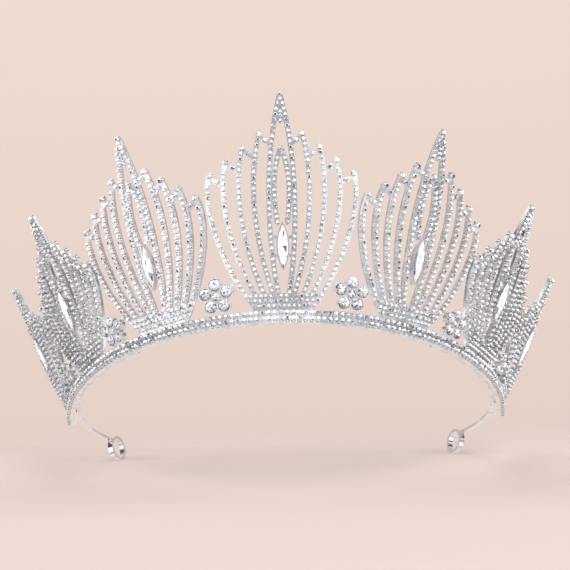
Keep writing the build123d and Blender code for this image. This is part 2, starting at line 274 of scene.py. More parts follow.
def width_scale(pair):
    widest = rib_height(pair, RIBS_PER_SIDE[pair] - 1) * WIDEST_LEVEL
    back_radius = FACE_RADIUS + widest * FLARE_SIN - FRAME_BACK / FLARE_COS
    reach = back_radius * math.sin(math.radians(FAN_HALF_ANGLES[pair]))
    return (reach - NEIGHBOUR_GAP / 2 - RIB_WIDTH / 2) / FULL_REACH


def slim_scale(pair):
    return (1 + width_scale(pair)) / 2


def curve_point(points, t):
    weights = ((1 - t) ** 3, 3 * (1 - t) ** 2 * t, 3 * (1 - t) * t**2, t**3)
    return tuple(sum(w * p[axis] for w, p in zip(weights, points)) for axis in (0, 1))


def offset_at(points, v):
    low, high = 0.0, 1.0
    for _ in range(30):
        middle = (low + high) / 2
        if curve_point(points, middle)[1] < v:
            low = middle
        else:
            high = middle
    return curve_point(points, low)[0]


def rib_curve(pair, rib):
    share = rib / (RIBS_PER_SIDE[pair] - 1)
    tip = rib_height(pair, rib)
    levels = [0.0] + [tip * mix(a, b, share) for a, b in zip(FIRST_RIB_LEVELS, LAST_RIB_LEVELS)]
    first = [offset * slim_scale(pair) for offset in FIRST_RIB_OFFSETS]
    last = [offset * width_scale(pair) for offset in LAST_RIB_OFFSETS]
    return list(zip([mix(a, b, share) for a, b in zip(first, last)], levels + [tip]))


def lancet_curve(pair):
    height = FAN_HEIGHTS[pair]
    levels = [0.0, height * LANCET_LEVELS[0], height * LANCET_LEVELS[1], height]
    return [(offset * slim_scale(pair), v) for offset, v in zip(LANCET_OFFSETS, levels)]


def inner_lancet_curve(pair):
    foot = NAVETTE_CENTRE + NAVETTE_LENGTH / 2
    rise = (FAN_HEIGHTS[pair] - foot) * INNER_LANCET_SHARE
    levels = [foot] + [foot + rise * share for share in INNER_LANCET_LEVELS] + [foot + rise]
    return [(offset * slim_scale(pair), v) for offset, v in zip(INNER_LANCET_OFFSETS, levels)]


def shell_place(angle, u, v, depth=0.0):
    """The point of the flared shell behind (u, v) of a fan's plane, and the outward normal."""
    across = FACE_RADIUS + v * FLARE_SIN
    slope = FLARE_SIN * math.tan(FLARE)
    radius = across - depth / FLARE_COS
    a = FLARE_COS**2 - slope**2
    b = across * FLARE_COS + radius * slope
    c = u**2 + across**2 - radius**2
    inward = (b - math.sqrt(b * b - a * c)) / a
    point = Vector((u, -(across - inward * FLARE_COS), BAND_HEIGHT + v * FLARE_COS + inward * FLARE_SIN))
    point.rotate(Matrix.Rotation(math.radians(angle), 3, "Z"))
    outward = Vector((point.x, point.y, 0)).normalized()
    return point * MM, outward * FLARE_COS - Vector((0, 0, FLARE_SIN))


def placing(point, normal, along, scale=1.0):
    """The matrix that puts a setting at a point, facing the normal, with its X along the row."""
    x_axis = (along - normal * along.dot(normal)).normalized()
    y_axis = normal.cross(x_axis)
    turn = Matrix((x_axis, y_axis, normal)).transposed().to_4x4()
    return Matrix.Translation(point) @ turn @ Matrix.Scale(scale, 4)


def shell_placing(angle, u, v, heading, scale=1.0, depth=0.0):
    point, normal = shell_place(angle, u, v, depth)
    ahead = shell_place(angle, u + 0.1 * heading[0], v + 0.1 * heading[1], depth)[0]
    return placing(point, normal, ahead - point, scale)


def even_places(points, pitch, low, high):
    """Evenly spaced places (u, v, heading) on a curve between two levels, about a pitch apart."""
    steps = 400
    samples = [curve_point(points, k / steps) for k in range(steps + 1)]
    samples = [p for p in samples if low <= p[1] <= high]
    lengths = [0.0]
    for a, b in zip(samples, samples[1:]):
        lengths.append(lengths[-1] + math.dist(a, b))
    count = max(1, round(lengths[-1] / pitch))
    places = []
    for k in range(count + 1):
        wanted = lengths[-1] * k / count
        index = min(range(len(lengths)), key=lambda i: abs(lengths[i] - wanted))
        before, after = samples[max(0, index - 3)], samples[min(len(samples) - 1, index + 3)]
        heading = (after[0] - before[0], after[1] - before[1])
        size = math.hypot(*heading) or 1.0
        places.append((*samples[index], (heading[0] / size, heading[1] / size)))
    return places


def mirrored(place):
    u, v, heading = place
    return -u, v, (-heading[0], heading[1])


class Layout:
    """The places of a fan's stones, none nearer to another than their two radii allow."""

    def __init__(self, cup):
        self.cup = cup
        self.taken = []

    def room(self, u, v, scale, squeeze=0.9):
        for other_u, other_v, other_scale in self.taken:
            if math.hypot(u - other_u, v - other_v) < (scale + other_scale) / 2 * self.cup * squeeze:
                return False
        return True

    def add(self, rows, places, scale=1.0, squeeze=0.9, both=True):
        for place in places:
            for u, v, heading in [place, mirrored(place)] if both else [place]:
                if both and abs(u) < 0.02 and (u, v, heading) != place:
                    continue
                if self.room(u, v, scale, squeeze):
                    self.taken.append((u, v, scale))
                    rows.append((u, v, heading, scale))


def fan_layout(pair):
    """The places of one fan's stones: the lancets and foot, then the ribs."""
    stones = bpy.context.scene.tiara_stones
    cup = stones.cup_diameter / MM
    pitch = stones.pitch / MM
    height = FAN_HEIGHTS[pair]
    layout = Layout(cup)
    pave, ribs = [], []
    layout.add(pave, [(0.0, height, (0.0, 1.0))], 1.05, both=False)
    legs = even_places(lancet_curve(pair), pitch, BASE_PLATE_HEIGHT, height - 1.2)
    layout.add(pave, legs[::-1])
    rib = rib_curve(pair, RIBS_PER_SIDE[pair] - 1)
    bottom = rib[0][0] + RIB_WIDTH / 2
    top = offset_at(rib, BASE_PLATE_HEIGHT) + RIB_WIDTH / 2 + 0.2
    for level in (0.95, 2.55, 4.15):
        reach = mix(bottom, top, level / BASE_PLATE_HEIGHT) - cup / 2
        count = round(2 * reach / (cup * 1.02))
        row = [(-reach + 2 * reach * k / count, level, (1.0, 0.0)) for k in range(count + 1)]
        layout.add(pave, row, 0.98, 0.86, both=False)
    inner = inner_lancet_curve(pair)
    layout.add(pave, even_places(inner, pitch, inner[0][1] + 0.2, inner[3][1])[::-1])
    level = height - 1.6
    while level > height * (1 - TIP_PLATE_SHARE) - 1:
        layout.add(pave, [(0.0, level, (0.0, 1.0))], 0.95, 0.88, both=False)
        level -= 0.15
    for rib in range(RIBS_PER_SIDE[pair]):
        curve = rib_curve(pair, rib)
        tip = curve[3]
        inside = rib_curve(pair, rib - 1) if rib else lancet_curve(pair)
        reach = tip[1] - 2 * LINK_DROP
        foot = (offset_at(inside, reach), reach)
        slant = (tip[0] - foot[0], tip[1] - foot[1])
        layout.add(ribs, [(*tip, (0.0, 1.0))], 1.3, 0.8)
        layout.add(ribs, even_places(curve, pitch, BASE_PLATE_HEIGHT + 0.9, tip[1] - 1.6)[::-1])
        layout.add(ribs, [((tip[0] + foot[0]) / 2, (tip[1] + foot[1]) / 2, slant)], 1.15, 0.8)
    return pave, ribs


# ---------------------------------------------------------------- modelling helpers


def start(primitive, **options):
    """Adds a primitive with nothing else selected and returns its object."""
    bpy.ops.object.select_all(action="DESELECT")
    primitive(**options)
    return bpy.context.object


def shape(obj, choose, operation, **options):
    """Runs an edit-mode operation on the faces that choose picks."""
    for thing in (*obj.data.vertices, *obj.data.edges, *obj.data.polygons):
        thing.select = False
    for face in obj.data.polygons:
        face.select = choose(face)
    bpy.ops.object.mode_set(mode="EDIT")
    bpy.ops.mesh.select_mode(type="FACE")
    operation(**options)
    bpy.ops.object.mode_set(mode="OBJECT")


def facing_up(face):
    return face.normal.z > 0.9


def facing_down(face):
    return face.normal.z < -0.9


def everything(face):
    return True


def settle(obj):
    """Moves an object's place into its mesh."""
    obj.data.transform(obj.matrix_world)
    obj.matrix_world = Matrix.Identity(4)


def paint(obj, *materials):
    obj.data.materials.clear()
    for material in materials:
        obj.data.materials.append(material)


def join(pieces, name):
    """Joins pieces into one object with a name of its own."""
    bpy.ops.object.select_all(action="DESELECT")
    for piece in pieces:
        piece.select_set(True)
    bpy.context.view_layer.objects.active = pieces[0]
    bpy.ops.object.join()
    joined = bpy.context.object
    settle(joined)
    joined.name = name
    joined.data.name = name
    return joined


def copies(model, matrices):
    """Copies of a model, each with a mesh of its own, in their places."""
    result = []
    for matrix in matrices:
        copy = model.copy()
        copy.data = model.data.copy()
        copy.data.transform(matrix)
        bpy.context.scene.collection.objects.link(copy)
        result.append(copy)
    return result


def set_painted_facet_glints(obj, crystal_index, seed, bright=0.62, grey=0.21):
    """Gives each crystal facet a tone of painted light, from dark (a painted dark reflection) at 0 to
    bright (a painted highlight) at 1.
    """
    chance = random.Random(seed)
    attribute = obj.data.attributes.new("painted_facet_glint", "FLOAT", "FACE")
    tones = []
    for face in obj.data.polygons:
        if face.material_index != crystal_index:
            tones.append(1.0)
            continue
        kind = chance.random()
        if kind < bright:
            tones.append(chance.uniform(0.85, 1.0))
        elif kind < bright + grey:
            tones.append(chance.uniform(0.42, 0.7))
        else:
            tones.append(chance.uniform(0.0, 0.25))
    attribute.data.foreach_set("value", tones)


def finish_piece(obj, slot, *nodes):
    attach(obj, ROOT)
    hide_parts(*nodes)


def discard(obj):
    bpy.data.objects.remove(obj, do_unlink=True)


# ---------------------------------------------------------------- materials


def node_group(name, inputs, outputs):
    """A shader node group with named sockets, and its input and output nodes."""
    group = bpy.data.node_groups.new(name, "ShaderNodeTree")
    for socket, kind, value in inputs:
        item = group.interface.new_socket(socket, in_out="INPUT", socket_type=kind)
        item.default_value = value
    for socket, kind in outputs:
        group.interface.new_socket(socket, in_out="OUTPUT", socket_type=kind)
    return group, group.nodes.new("NodeGroupInput"), group.nodes.new("NodeGroupOutput")


def ramp(nodes, stops):
    node = nodes.new("ShaderNodeValToRGB")
    elements = node.color_ramp.elements
    while len(elements) < len(stops):
        elements.new(0.5)
    for element, (position, colour) in zip(elements, stops):
        element.position = position
        element.color = (*colour, 1.0)
    return node


def plating_group():
    """Fine polish marks, and soft clouds of a darker plating colour that stand for tarnish and for
    painted shade on the silver.
    """
    group, entry, out = node_group(
        "Plating wear",
        [
            ("Bright", "NodeSocketColor", (0.86, 0.86, 0.875, 1)),
            ("Dull", "NodeSocketColor", (0.47, 0.45, 0.44, 1)),
            ("Cloud size", "NodeSocketFloat", 900.0),
            ("Dulling", "NodeSocketFloat", 0.35),
            ("Gloss", "NodeSocketFloat", 0.12),
            ("Haze", "NodeSocketFloat", 0.16),
        ],
        [
            ("Colour", "NodeSocketColor"),
            ("Roughness", "NodeSocketFloat"),
            ("Height", "NodeSocketFloat"),
        ],
    )
    nodes, link = group.nodes, group.links.new
    place = nodes.new("ShaderNodeTexCoord")
    clouds = nodes.new("ShaderNodeTexNoise")
    clouds.inputs["Detail"].default_value = 4.0
    clouds.inputs["Roughness"].default_value = 0.6
    link(place.outputs["Object"], clouds.inputs["Vector"])
    link(entry.outputs["Cloud size"], clouds.inputs["Scale"])
    spread = nodes.new("ShaderNodeMapRange")
    spread.inputs["From Min"].default_value = 0.42
    spread.inputs["From Max"].default_value = 0.68
    link(clouds.outputs["Fac"], spread.inputs["Value"])
    amount = nodes.new("ShaderNodeMath")
    amount.operation = "MULTIPLY"
    link(spread.outputs["Result"], amount.inputs[0])
    link(entry.outputs["Dulling"], amount.inputs[1])
    # Mixes in the darker plating colour: partly tarnish, partly painted shade.
    colour = nodes.new("ShaderNodeMix")
    colour.data_type = "RGBA"
    link(amount.outputs[0], colour.inputs["Factor"])
    link(entry.outputs["Bright"], colour.inputs["A"])
    link(entry.outputs["Dull"], colour.inputs["B"])
    link(colour.outputs["Result"], out.inputs["Colour"])
    haze = nodes.new("ShaderNodeMath")
    haze.operation = "MULTIPLY_ADD"
    link(spread.outputs["Result"], haze.inputs[0])
    link(entry.outputs["Haze"], haze.inputs[1])
    link(entry.outputs["Gloss"], haze.inputs[2])
    link(haze.outputs[0], out.inputs["Roughness"])
    marks = nodes.new("ShaderNodeTexNoise")
    marks.inputs["Scale"].default_value = 2600.0
    marks.inputs["Detail"].default_value = 2.0
    link(place.outputs["Object"], marks.inputs["Vector"])
    link(marks.outputs["Fac"], out.inputs["Height"])
    return group


def facet_group():
    """Colour of a crystal's facets from their tone: painted highlights, half-lit greys and painted dark
    reflections, with a faint drift from stone to stone.
    """
    group, entry, out = node_group(
        "Painted facet glints",
        [
            ("Bright", "NodeSocketColor", (0.93, 0.94, 0.97, 1)),
            ("Grey", "NodeSocketColor", (0.42, 0.46, 0.54, 1)),
            ("Dark", "NodeSocketColor", (0.05, 0.055, 0.07, 1)),
        ],
        [("Colour", "NodeSocketColor"), ("Roughness", "NodeSocketFloat")],
    )
    nodes, link = group.nodes, group.links.new
    tone = nodes.new("ShaderNodeAttribute")
    tone.attribute_name = "painted_facet_glint"
    place = nodes.new("ShaderNodeTexCoord")
    drift = nodes.new("ShaderNodeTexNoise")
    drift.inputs["Scale"].default_value = 700.0
    link(place.outputs["Object"], drift.inputs["Vector"])
    shift = nodes.new("ShaderNodeMath")
    shift.operation = "MULTIPLY_ADD"
    shift.inputs[1].default_value = 0.3
    shift.inputs[2].default_value = -0.15
    link(drift.outputs["Fac"], shift.inputs[0])
    total = nodes.new("ShaderNodeMath")
    total.operation = "ADD"
    total.use_clamp = True
    link(tone.outputs["Fac"], total.inputs[0])
    link(shift.outputs[0], total.inputs[1])
    low = nodes.new("ShaderNodeMapRange")
    low.inputs["From Min"].default_value = 0.1
    low.inputs["From Max"].default_value = 0.5
    link(total.outputs[0], low.inputs["Value"])
    high = nodes.new("ShaderNodeMapRange")
    high.inputs["From Min"].default_value = 0.55
    high.inputs["From Max"].default_value = 0.85
    link(total.outputs[0], high.inputs["Value"])
    dark_grey = nodes.new("ShaderNodeMix")
    dark_grey.data_type = "RGBA"
    link(low.outputs["Result"], dark_grey.inputs["Factor"])
    link(entry.outputs["Dark"], dark_grey.inputs["A"])
    link(entry.outputs["Grey"], dark_grey.inputs["B"])
    whole = nodes.new("ShaderNodeMix")
    whole.data_type = "RGBA"
    link(high.outputs["Result"], whole.inputs["Factor"])
    link(dark_grey.outputs["Result"], whole.inputs["A"])
    link(entry.outputs["Bright"], whole.inputs["B"])
    link(whole.outputs["Result"], out.inputs["Colour"])
    rough = nodes.new("ShaderNodeMapRange")
    rough.inputs["To Min"].default_value = 0.05
    rough.inputs["To Max"].default_value = 0.16
    link(drift.outputs["Fac"], rough.inputs["Value"])
    link(rough.outputs["Result"], out.inputs["Roughness"])
    return group


def silver_material(name, group, dulling, gloss, cloud_size):
    finish = bpy.context.scene.tiara_finish
    material = bpy.data.materials.new(name)
    material.use_nodes = True
    nodes, link = material.node_tree.nodes, material.node_tree.links.new
    surface = nodes["Principled BSDF"]
    surface.inputs["Metallic"].default_value = 1.0
    wear_and_shade = nodes.new("ShaderNodeGroup")
    wear_and_shade.node_tree = group
    wear_and_shade.inputs["Bright"].default_value = (*finish.silver, 1)
    wear_and_shade.inputs["Dull"].default_value = (*finish.tarnish_and_shade, 1)
    wear_and_shade.inputs["Cloud size"].default_value = cloud_size
    wear_and_shade.inputs["Dulling"].default_value = dulling
    wear_and_shade.inputs["Gloss"].default_value = gloss
    link(wear_and_shade.outputs["Colour"], surface.inputs["Base Color"])
    link(wear_and_shade.outputs["Roughness"], surface.inputs["Roughness"])
    bump = nodes.new("ShaderNodeBump")
    bump.inputs["Strength"].default_value = 0.12
    bump.inputs["Distance"].default_value = 0.00004
    link(wear_and_shade.outputs["Height"], bump.inputs["Height"])
    link(bump.outputs["Normal"], surface.inputs["Normal"])
    return material


def crystal_material(name, group):
    finish = bpy.context.scene.tiara_finish
    material = bpy.data.materials.new(name)
    material.use_nodes = True
    nodes, link = material.node_tree.nodes, material.node_tree.links.new
    surface = nodes["Principled BSDF"]
    surface.inputs["IOR"].default_value = 1.6
    surface.inputs["Coat Weight"].default_value = 0.3
    surface.inputs["Coat Roughness"].default_value = 0.03
    # The facet group paints highlights, half-lit greys and dark reflections into the stone's base
    # colour.
    facets = nodes.new("ShaderNodeGroup")
    facets.node_tree = group
    facets.inputs["Bright"].default_value = (*finish.crystal, 1)
    facets.inputs["Grey"].default_value = (*finish.crystal_painted_grey, 1)
    facets.inputs["Dark"].default_value = (*finish.crystal_painted_dark, 1)
    link(facets.outputs["Colour"], surface.inputs["Base Color"])
    link(facets.outputs["Roughness"], surface.inputs["Roughness"])
    return material


def make_materials():
    plating, facets = plating_group(), facet_group()
    # The dulling shares set how much of the darker plating colour, tarnish and painted shade, each
    # silver gets; the fan and cup silvers get the most.
    silver_material("Fan silver", plating, 0.5, 0.14, 400.0)
    silver_material("Band silver", plating, 0.3, 0.1, 350.0)
    silver_material("Strip silver", plating, 0.25, 0.1, 300.0)
    silver_material("Cup silver", plating, 0.5, 0.16, 1500.0)
    crystal_material("Small crystal", facets)
    crystal_material("Navette crystal", facets)
    crystal_material("Flower crystal", facets)


# ---------------------------------------------------------------- small models


def model_claws(radius, places, low, high, thick):
    """Small tapered claws round a stone, leaning a little over it."""
    claws = []
    for angle in places:
        claw = start(
            bpy.ops.mesh.primitive_cone_add,
            vertices=4,
            radius1=thick * MM,
            radius2=thick * 0.55 * MM,
            depth=(high - low) * MM,
            location=(0, 0, (low + high) / 2 * MM),
        )
        shape(
            claw, facing_up, bpy.ops.transform.translate, value=(-thick * 0.9 * MM, 0, 0)
        )
        turn = Matrix.Rotation(math.radians(angle), 4, "Z")
        claw.data.transform(turn @ Matrix.Translation((radius * MM, 0, 0)) @ claw.matrix_world)
        claw.matrix_world = Matrix.Identity(4)
        claws.append(claw)
    return claws


def model_round_stone(radius, sides, girdle, crown, table):
    """A round cut stone: a girdle, a crown of kite facets and a flat table."""
    stone = start(
        bpy.ops.mesh.primitive_cone_add,
        vertices=sides,
        radius1=radius * MM,
        radius2=radius * table * MM,
        depth=crown * MM,
        location=(0, 0, (girdle + crown / 2) * MM),
    )
    settle(stone)
    bevel_table(stone, radius * table * 0.36)
    return stone


def bevel_table(stone, size):
    """Cuts the corners of a stone's table, which makes the crown's small kite facets."""
    top = max(v.co.z for v in stone.data.vertices)
    for vertex in stone.data.vertices:
        vertex.select = vertex.co.z > top - 0.001 * MM
    bpy.ops.object.mode_set(mode="EDIT")
    bpy.ops.mesh.select_mode(type="VERT")
    bpy.ops.mesh.bevel(offset=size * MM, affect="VERTICES", segments=1)
    bpy.ops.object.mode_set(mode="OBJECT")


def model_flower_stone():
    """A larger round stone, a unit in radius: a steep crown, a flat one and a split table."""
    stone = model_round_stone(1.0, 12, -0.1, 0.3, 0.84)
    extrude = bpy.ops.mesh.extrude_region_move
    shape(stone, facing_up, extrude, TRANSFORM_OT_translate={"value": (0, 0, 0.22 * MM)})
    shape(stone, facing_up, bpy.ops.transform.resize, value=(0.58, 0.58, 1))
    shape(stone, facing_up, bpy.ops.transform.rotate, value=math.radians(15), orient_axis="Z",
          center_override=(0, 0, 0))
    shape(stone, facing_up, bpy.ops.mesh.poke)
    return stone


def model_setting():
    """One small cup with four claws, a link to the next cup, and its stone."""
    lift = bpy.context.scene.tiara_stones.table_lift / MM
    cup = start(
        bpy.ops.mesh.primitive_cylinder_add,
        vertices=8,
        radius=0.5 * MM,
        depth=0.8 * MM,
        location=(0, 0, -0.62 * MM),
    )
    settle(cup)
    shape(cup, facing_down, bpy.ops.transform.resize, value=(0.72, 0.72, 1))
    link = start(
        bpy.ops.mesh.primitive_cube_add,
        size=1.0 * MM,
        location=(0, 0, -0.95 * MM),
        scale=(1.2, 0.42, 0.3),
    )
    settle(link)
    claws = model_claws(0.46, (45, 135, 225, 315), -0.75, 0.06, 0.12)
    stone = model_round_stone(0.43, 8, -0.24, 0.2 + lift, 0.58)
    silver = bpy.data.materials["Cup silver"]
    crystal = bpy.data.materials["Small crystal"]
    for piece in (cup, link, *claws):
        paint(piece, silver, crystal)
    paint(stone, silver, crystal)
    for face in stone.data.polygons:
        face.material_index = 1
    return join([cup, link, *claws, stone], "setting_model")


def boat_offset(v, length, width):
    """Half the width of the boat shape at a distance v from its middle."""
    radius = (length**2 + width**2) / (4 * width)
    return math.sqrt(max(0.0, radius**2 - v**2)) - (radius - width / 2)


def start_boat(length, width, level, sides=24):
    """A flat boat-shaped face, pointed at both ends, long along Y."""
    boat = start(
        bpy.ops.mesh.primitive_circle_add,
        vertices=sides,
        radius=length / 2 * MM,
        fill_type="NGON",
        location=(0, 0, level * MM),
    )
    settle(boat)
    for vertex in boat.data.vertices:
        turn = math.atan2(vertex.co.y, vertex.co.x)
        v = math.sin(turn) * length / 2
        half = boat_offset(v, length, width)
        side = 0.0 if abs(math.cos(turn)) < 1e-4 else math.copysign(1.0, math.cos(turn))
        vertex.co = Vector((side * half, v, level)) * MM
        vertex.co.z = level * MM
    return boat


def model_navette():
    """A boat-shaped crystal with a tall girdle, two rows of crown facets and a split table."""
    stone = start_boat(NAVETTE_LENGTH - 0.04, NAVETTE_WIDTH - 0.04, -CHAIN_DEPTH, 16)
    extrude = bpy.ops.mesh.extrude_region_move
    resize = bpy.ops.transform.resize
    shape(stone, everything, extrude, TRANSFORM_OT_translate={"value": (0, 0, NAVETTE_GIRDLE * MM)})
    shape(stone, facing_up, extrude, TRANSFORM_OT_translate={"value": (0, 0, 0.55 * NAVETTE_CROWN * MM)})
    shape(stone, facing_up, resize, value=(0.74, 0.8, 1))
    shape(stone, facing_up, extrude, TRANSFORM_OT_translate={"value": (0, 0, 0.45 * NAVETTE_CROWN * MM)})
    shape(stone, facing_up, resize, value=(0.56, 0.66, 1))
    shape(stone, facing_up, bpy.ops.mesh.poke)
    shape(stone, everything, bpy.ops.mesh.normals_make_consistent, inside=False)
    return stone


def model_bezel():
    """The wall round a navette with a rolled lip and claws at its ends and sides."""
    length, width = NAVETTE_LENGTH + 2 * BEZEL_WALL, NAVETTE_WIDTH + 2 * BEZEL_WALL
    wall = start_boat(length, width, -CHAIN_DEPTH)
    extrude = bpy.ops.mesh.extrude_region_move
    rise = (CHAIN_DEPTH + BEZEL_RISE) * MM
    shape(wall, everything, extrude, TRANSFORM_OT_translate={"value": (0, 0, rise)})
    shape(wall, facing_up, bpy.ops.mesh.inset, thickness=BEZEL_WALL * 0.9 * MM)
    shape(wall, facing_up, lambda: None)
    top = max(face.center.z for face in wall.data.polygons)
    inner = max(
        (face for face in wall.data.polygons if face.center.z > top - 0.01 * MM),
        key=lambda face: face.area,
    ).index
    shape(
        wall,
        lambda face: face.index == inner,
        extrude,
        TRANSFORM_OT_translate={"value": (0, 0, -0.3 * MM)},
    )
    shape(wall, everything, bpy.ops.mesh.normals_make_consistent, inside=False)
    claws = []
    for y, x in ((0.47, 0.0), (-0.47, 0.0), (0.2, 0.5), (0.2, -0.5), (-0.2, 0.5), (-0.2, -0.5)):
        v = y * length
        reach = math.copysign(boat_offset(v, length, width), x) if x else 0.0
        claw = start(
            bpy.ops.mesh.primitive_cone_add,
            vertices=6,
            radius1=0.32 * MM,
            radius2=0.18 * MM,
            depth=2.3 * MM,
            location=(reach * 0.98 * MM, v * MM, 0.05 * MM),
        )
        settle(claw)
        lean = (-0.25 * MM * (1 if x > 0 else -1 if x < 0 else 0), -0.3 * MM * (1 if not x and y > 0 else -1 if not x else 0), 0)
        shape(claw, facing_up, bpy.ops.transform.translate, value=lean)
        claws.append(claw)
    return join([wall, *claws], "bezel_model")


# ---------------------------------------------------------------- operators


class TIARA_OT_metal(bpy.types.Operator):
    """Give the frames, the rail, the arms and the flower cups their plated finishes"""

    bl_idname = "tiara.metal"
    bl_label = "Metal finishes"

    def execute(self, context):
        make_materials()
        finishes = (
            ("band_rail", "Band silver"),
            ("side_arm", "Strip silver"),
            ("fan_", "Fan silver"),
            ("flower_", "Cup silver"),
        )
        for name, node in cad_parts.items():
            for start_of_name, material in finishes:
                if name.startswith(start_of_name):
                    paint(node, bpy.data.materials[material])
        return {"FINISHED"}


class TIARA_OT_band_rows(bpy.types.Operator):
    """Model the two rows of stones round the front of the band"""

    bl_idname = "tiara.band_rows"
    bl_label = "Band rows"

    def execute(self, context):
        stones = context.scene.tiara_stones
        model = model_setting()
        scale = stones.band_cup_diameter / MM
        end = math.radians(BAND_END_ANGLE) - 1.6 / FACE_RADIUS
        count = round(2 * end * FACE_RADIUS * MM / stones.band_pitch)
        for name, level, seed in (("lower", 1.16, 3), ("upper", 3.28, 4)):
            places = []
            for k in range(count + 1):
                angle = mix(-end, end, k / count)
                outward = Vector((math.sin(angle), -math.cos(angle), 0))
                along = Vector((math.cos(angle), math.sin(angle), 0))
                point = outward * (FACE_RADIUS - 0.05) + Vector((0, 0, level))
                places.append(placing(point * MM, outward, along, scale))
            row = join(copies(model, places), f"band_row_{name}")
            set_painted_facet_glints(row, 1, seed)
            finish_piece(row, "stone_settings", f"band_chain_{name}")
        discard(model)
        return {"FINISHED"}


class TIARA_OT_fan_stones(bpy.types.Operator):
    """Model the rib chains, the lancets and the foot of every fan"""

    bl_idname = "tiara.fan_stones"
    bl_label = "Fan stones"

    def execute(self, context):
        cup = context.scene.tiara_stones.cup_diameter / MM
        model = model_setting()
        for pair, pair_name in enumerate(FAN_NAMES):
            pave, ribs = fan_layout(pair)
            sides = ((0, ""),) if pair == 0 else ((-1, "_left"), (1, "_right"))
            for side, hand in sides:
                angle = side * fan_angle(pair)
                for kind, rows in (("pave", pave), ("rib_chains", ribs)):
                    places = [
                        shell_placing(angle, u, v, heading, scale * cup, 0.05)
                        for u, v, heading, scale in rows
                    ]
                    name = f"fan_{pair_name}{hand}"
                    piece = join(copies(model, places), f"{name}_{kind}_stones")
                    set_painted_facet_glints(piece, 1, 10 * pair + side + len(kind))
                    finish_piece(piece, "stone_settings", f"{name}_{kind}")
        discard(model)
        return {"FINISHED"}


class TIARA_OT_navettes(bpy.types.Operator):
    """Model the boat-shaped stones and their bezels"""

    bl_idname = "tiara.navettes"
    bl_label = "Navettes"

    def execute(self, context):
        stone, bezel = model_navette(), model_bezel()
        for pair, pair_name in enumerate(FAN_NAMES):
            sides = ((0, ""),) if pair == 0 else ((-1, "_left"), (1, "_right"))
            for side, hand in sides:
                angle = side * fan_angle(pair)
                name = f"fan_{pair_name}{hand}"
                facing = Matrix.Rotation(math.radians(angle), 4, "Z")
                out = Vector((0, -FLARE_COS, -FLARE_SIN))
                up = Vector((0, -FLARE_SIN, FLARE_COS))
                centre = Vector((0, -FACE_RADIUS, BAND_HEIGHT)) + up * NAVETTE_CENTRE
                place = facing @ placing(centre * MM, out, Vector((1, 0, 0)))
                for model, kind, material, slot in (
                    (stone, "navette", "Navette crystal", "navette_crystal"),
                    (bezel, "bezel", "Cup silver", "polished_metal"),
                ):
                    piece = copies(model, [place])[0]
                    piece.name = f"{name}_{kind}_cut"
                    paint(piece, bpy.data.materials[material])
                    set_painted_facet_glints(piece, 0, 90 + 3 * pair + side, 0.8, 0.14)
                    finish_piece(piece, slot, f"{name}_{kind}")
        discard(stone)
        discard(bezel)
        return {"FINISHED"}


class TIARA_OT_flowers(bpy.types.Operator):
    """Model the round stones and claws of the small flowers"""

    bl_idname = "tiara.flowers"
    bl_label = "Flowers"

    def execute(self, context):
        silver = bpy.data.materials["Cup silver"]
        crystal = bpy.data.materials["Flower crystal"]
        stone = model_flower_stone()
        paint(stone, crystal, silver)
        claws = model_claws(1.1, (0, 90, 180, 270), -0.5, 0.22, 0.16)
        for claw in claws:
            paint(claw, crystal, silver)
            for face in claw.data.polygons:
                face.material_index = 1
        model = join([stone, *claws], "flower_stone_model")
        for pair, scale in enumerate(FLOWER_SCALES):
            ring = PETAL_RING_RADIUS * scale
            petal = PETAL_STONE_RADIUS * scale
            middle = CENTRE_STONE_RADIUS * scale
            level = FLOWER_FOOT_GAP + ring * math.cos(math.pi / PETALS) + petal + CUP_WALL
            for side, hand in ((-1, "left"), (1, "right")):
                angle = math.radians(side * (fan_angle(pair) + FAN_HALF_ANGLES[pair]))
                out = Vector((0, -FLARE_COS, -FLARE_SIN))
                up = Vector((0, -FLARE_SIN, FLARE_COS))
                centre = Vector((0, -FACE_RADIUS, BAND_HEIGHT)) + up * level
                centre += out * (CUP_HEIGHT - FRAME_FRONT)
                places = [(0.0, 0.0, middle)]
                for k in range(PETALS):
                    turn = math.pi / 2 + 2 * math.pi * k / PETALS
                    places.append((ring * math.cos(turn), ring * math.sin(turn), petal))
                facing = Matrix.Rotation(angle, 4, "Z")
                matrices = [
                    facing
                    @ placing((centre + Vector((x, 0, 0)) + up * y) * MM, out, Vector((1, 0, 0)), size)
                    for x, y, size in places
                ]
                name = f"flower_{FAN_NAMES[pair + 1]}_{hand}_stones"
                piece = join(copies(model, matrices), f"{name}_cut")
                set_painted_facet_glints(piece, 0, 50 + 3 * pair + side, 0.66, 0.18)
                finish_piece(piece, "flower_crystal", name)
        discard(model)
        return {"FINISHED"}


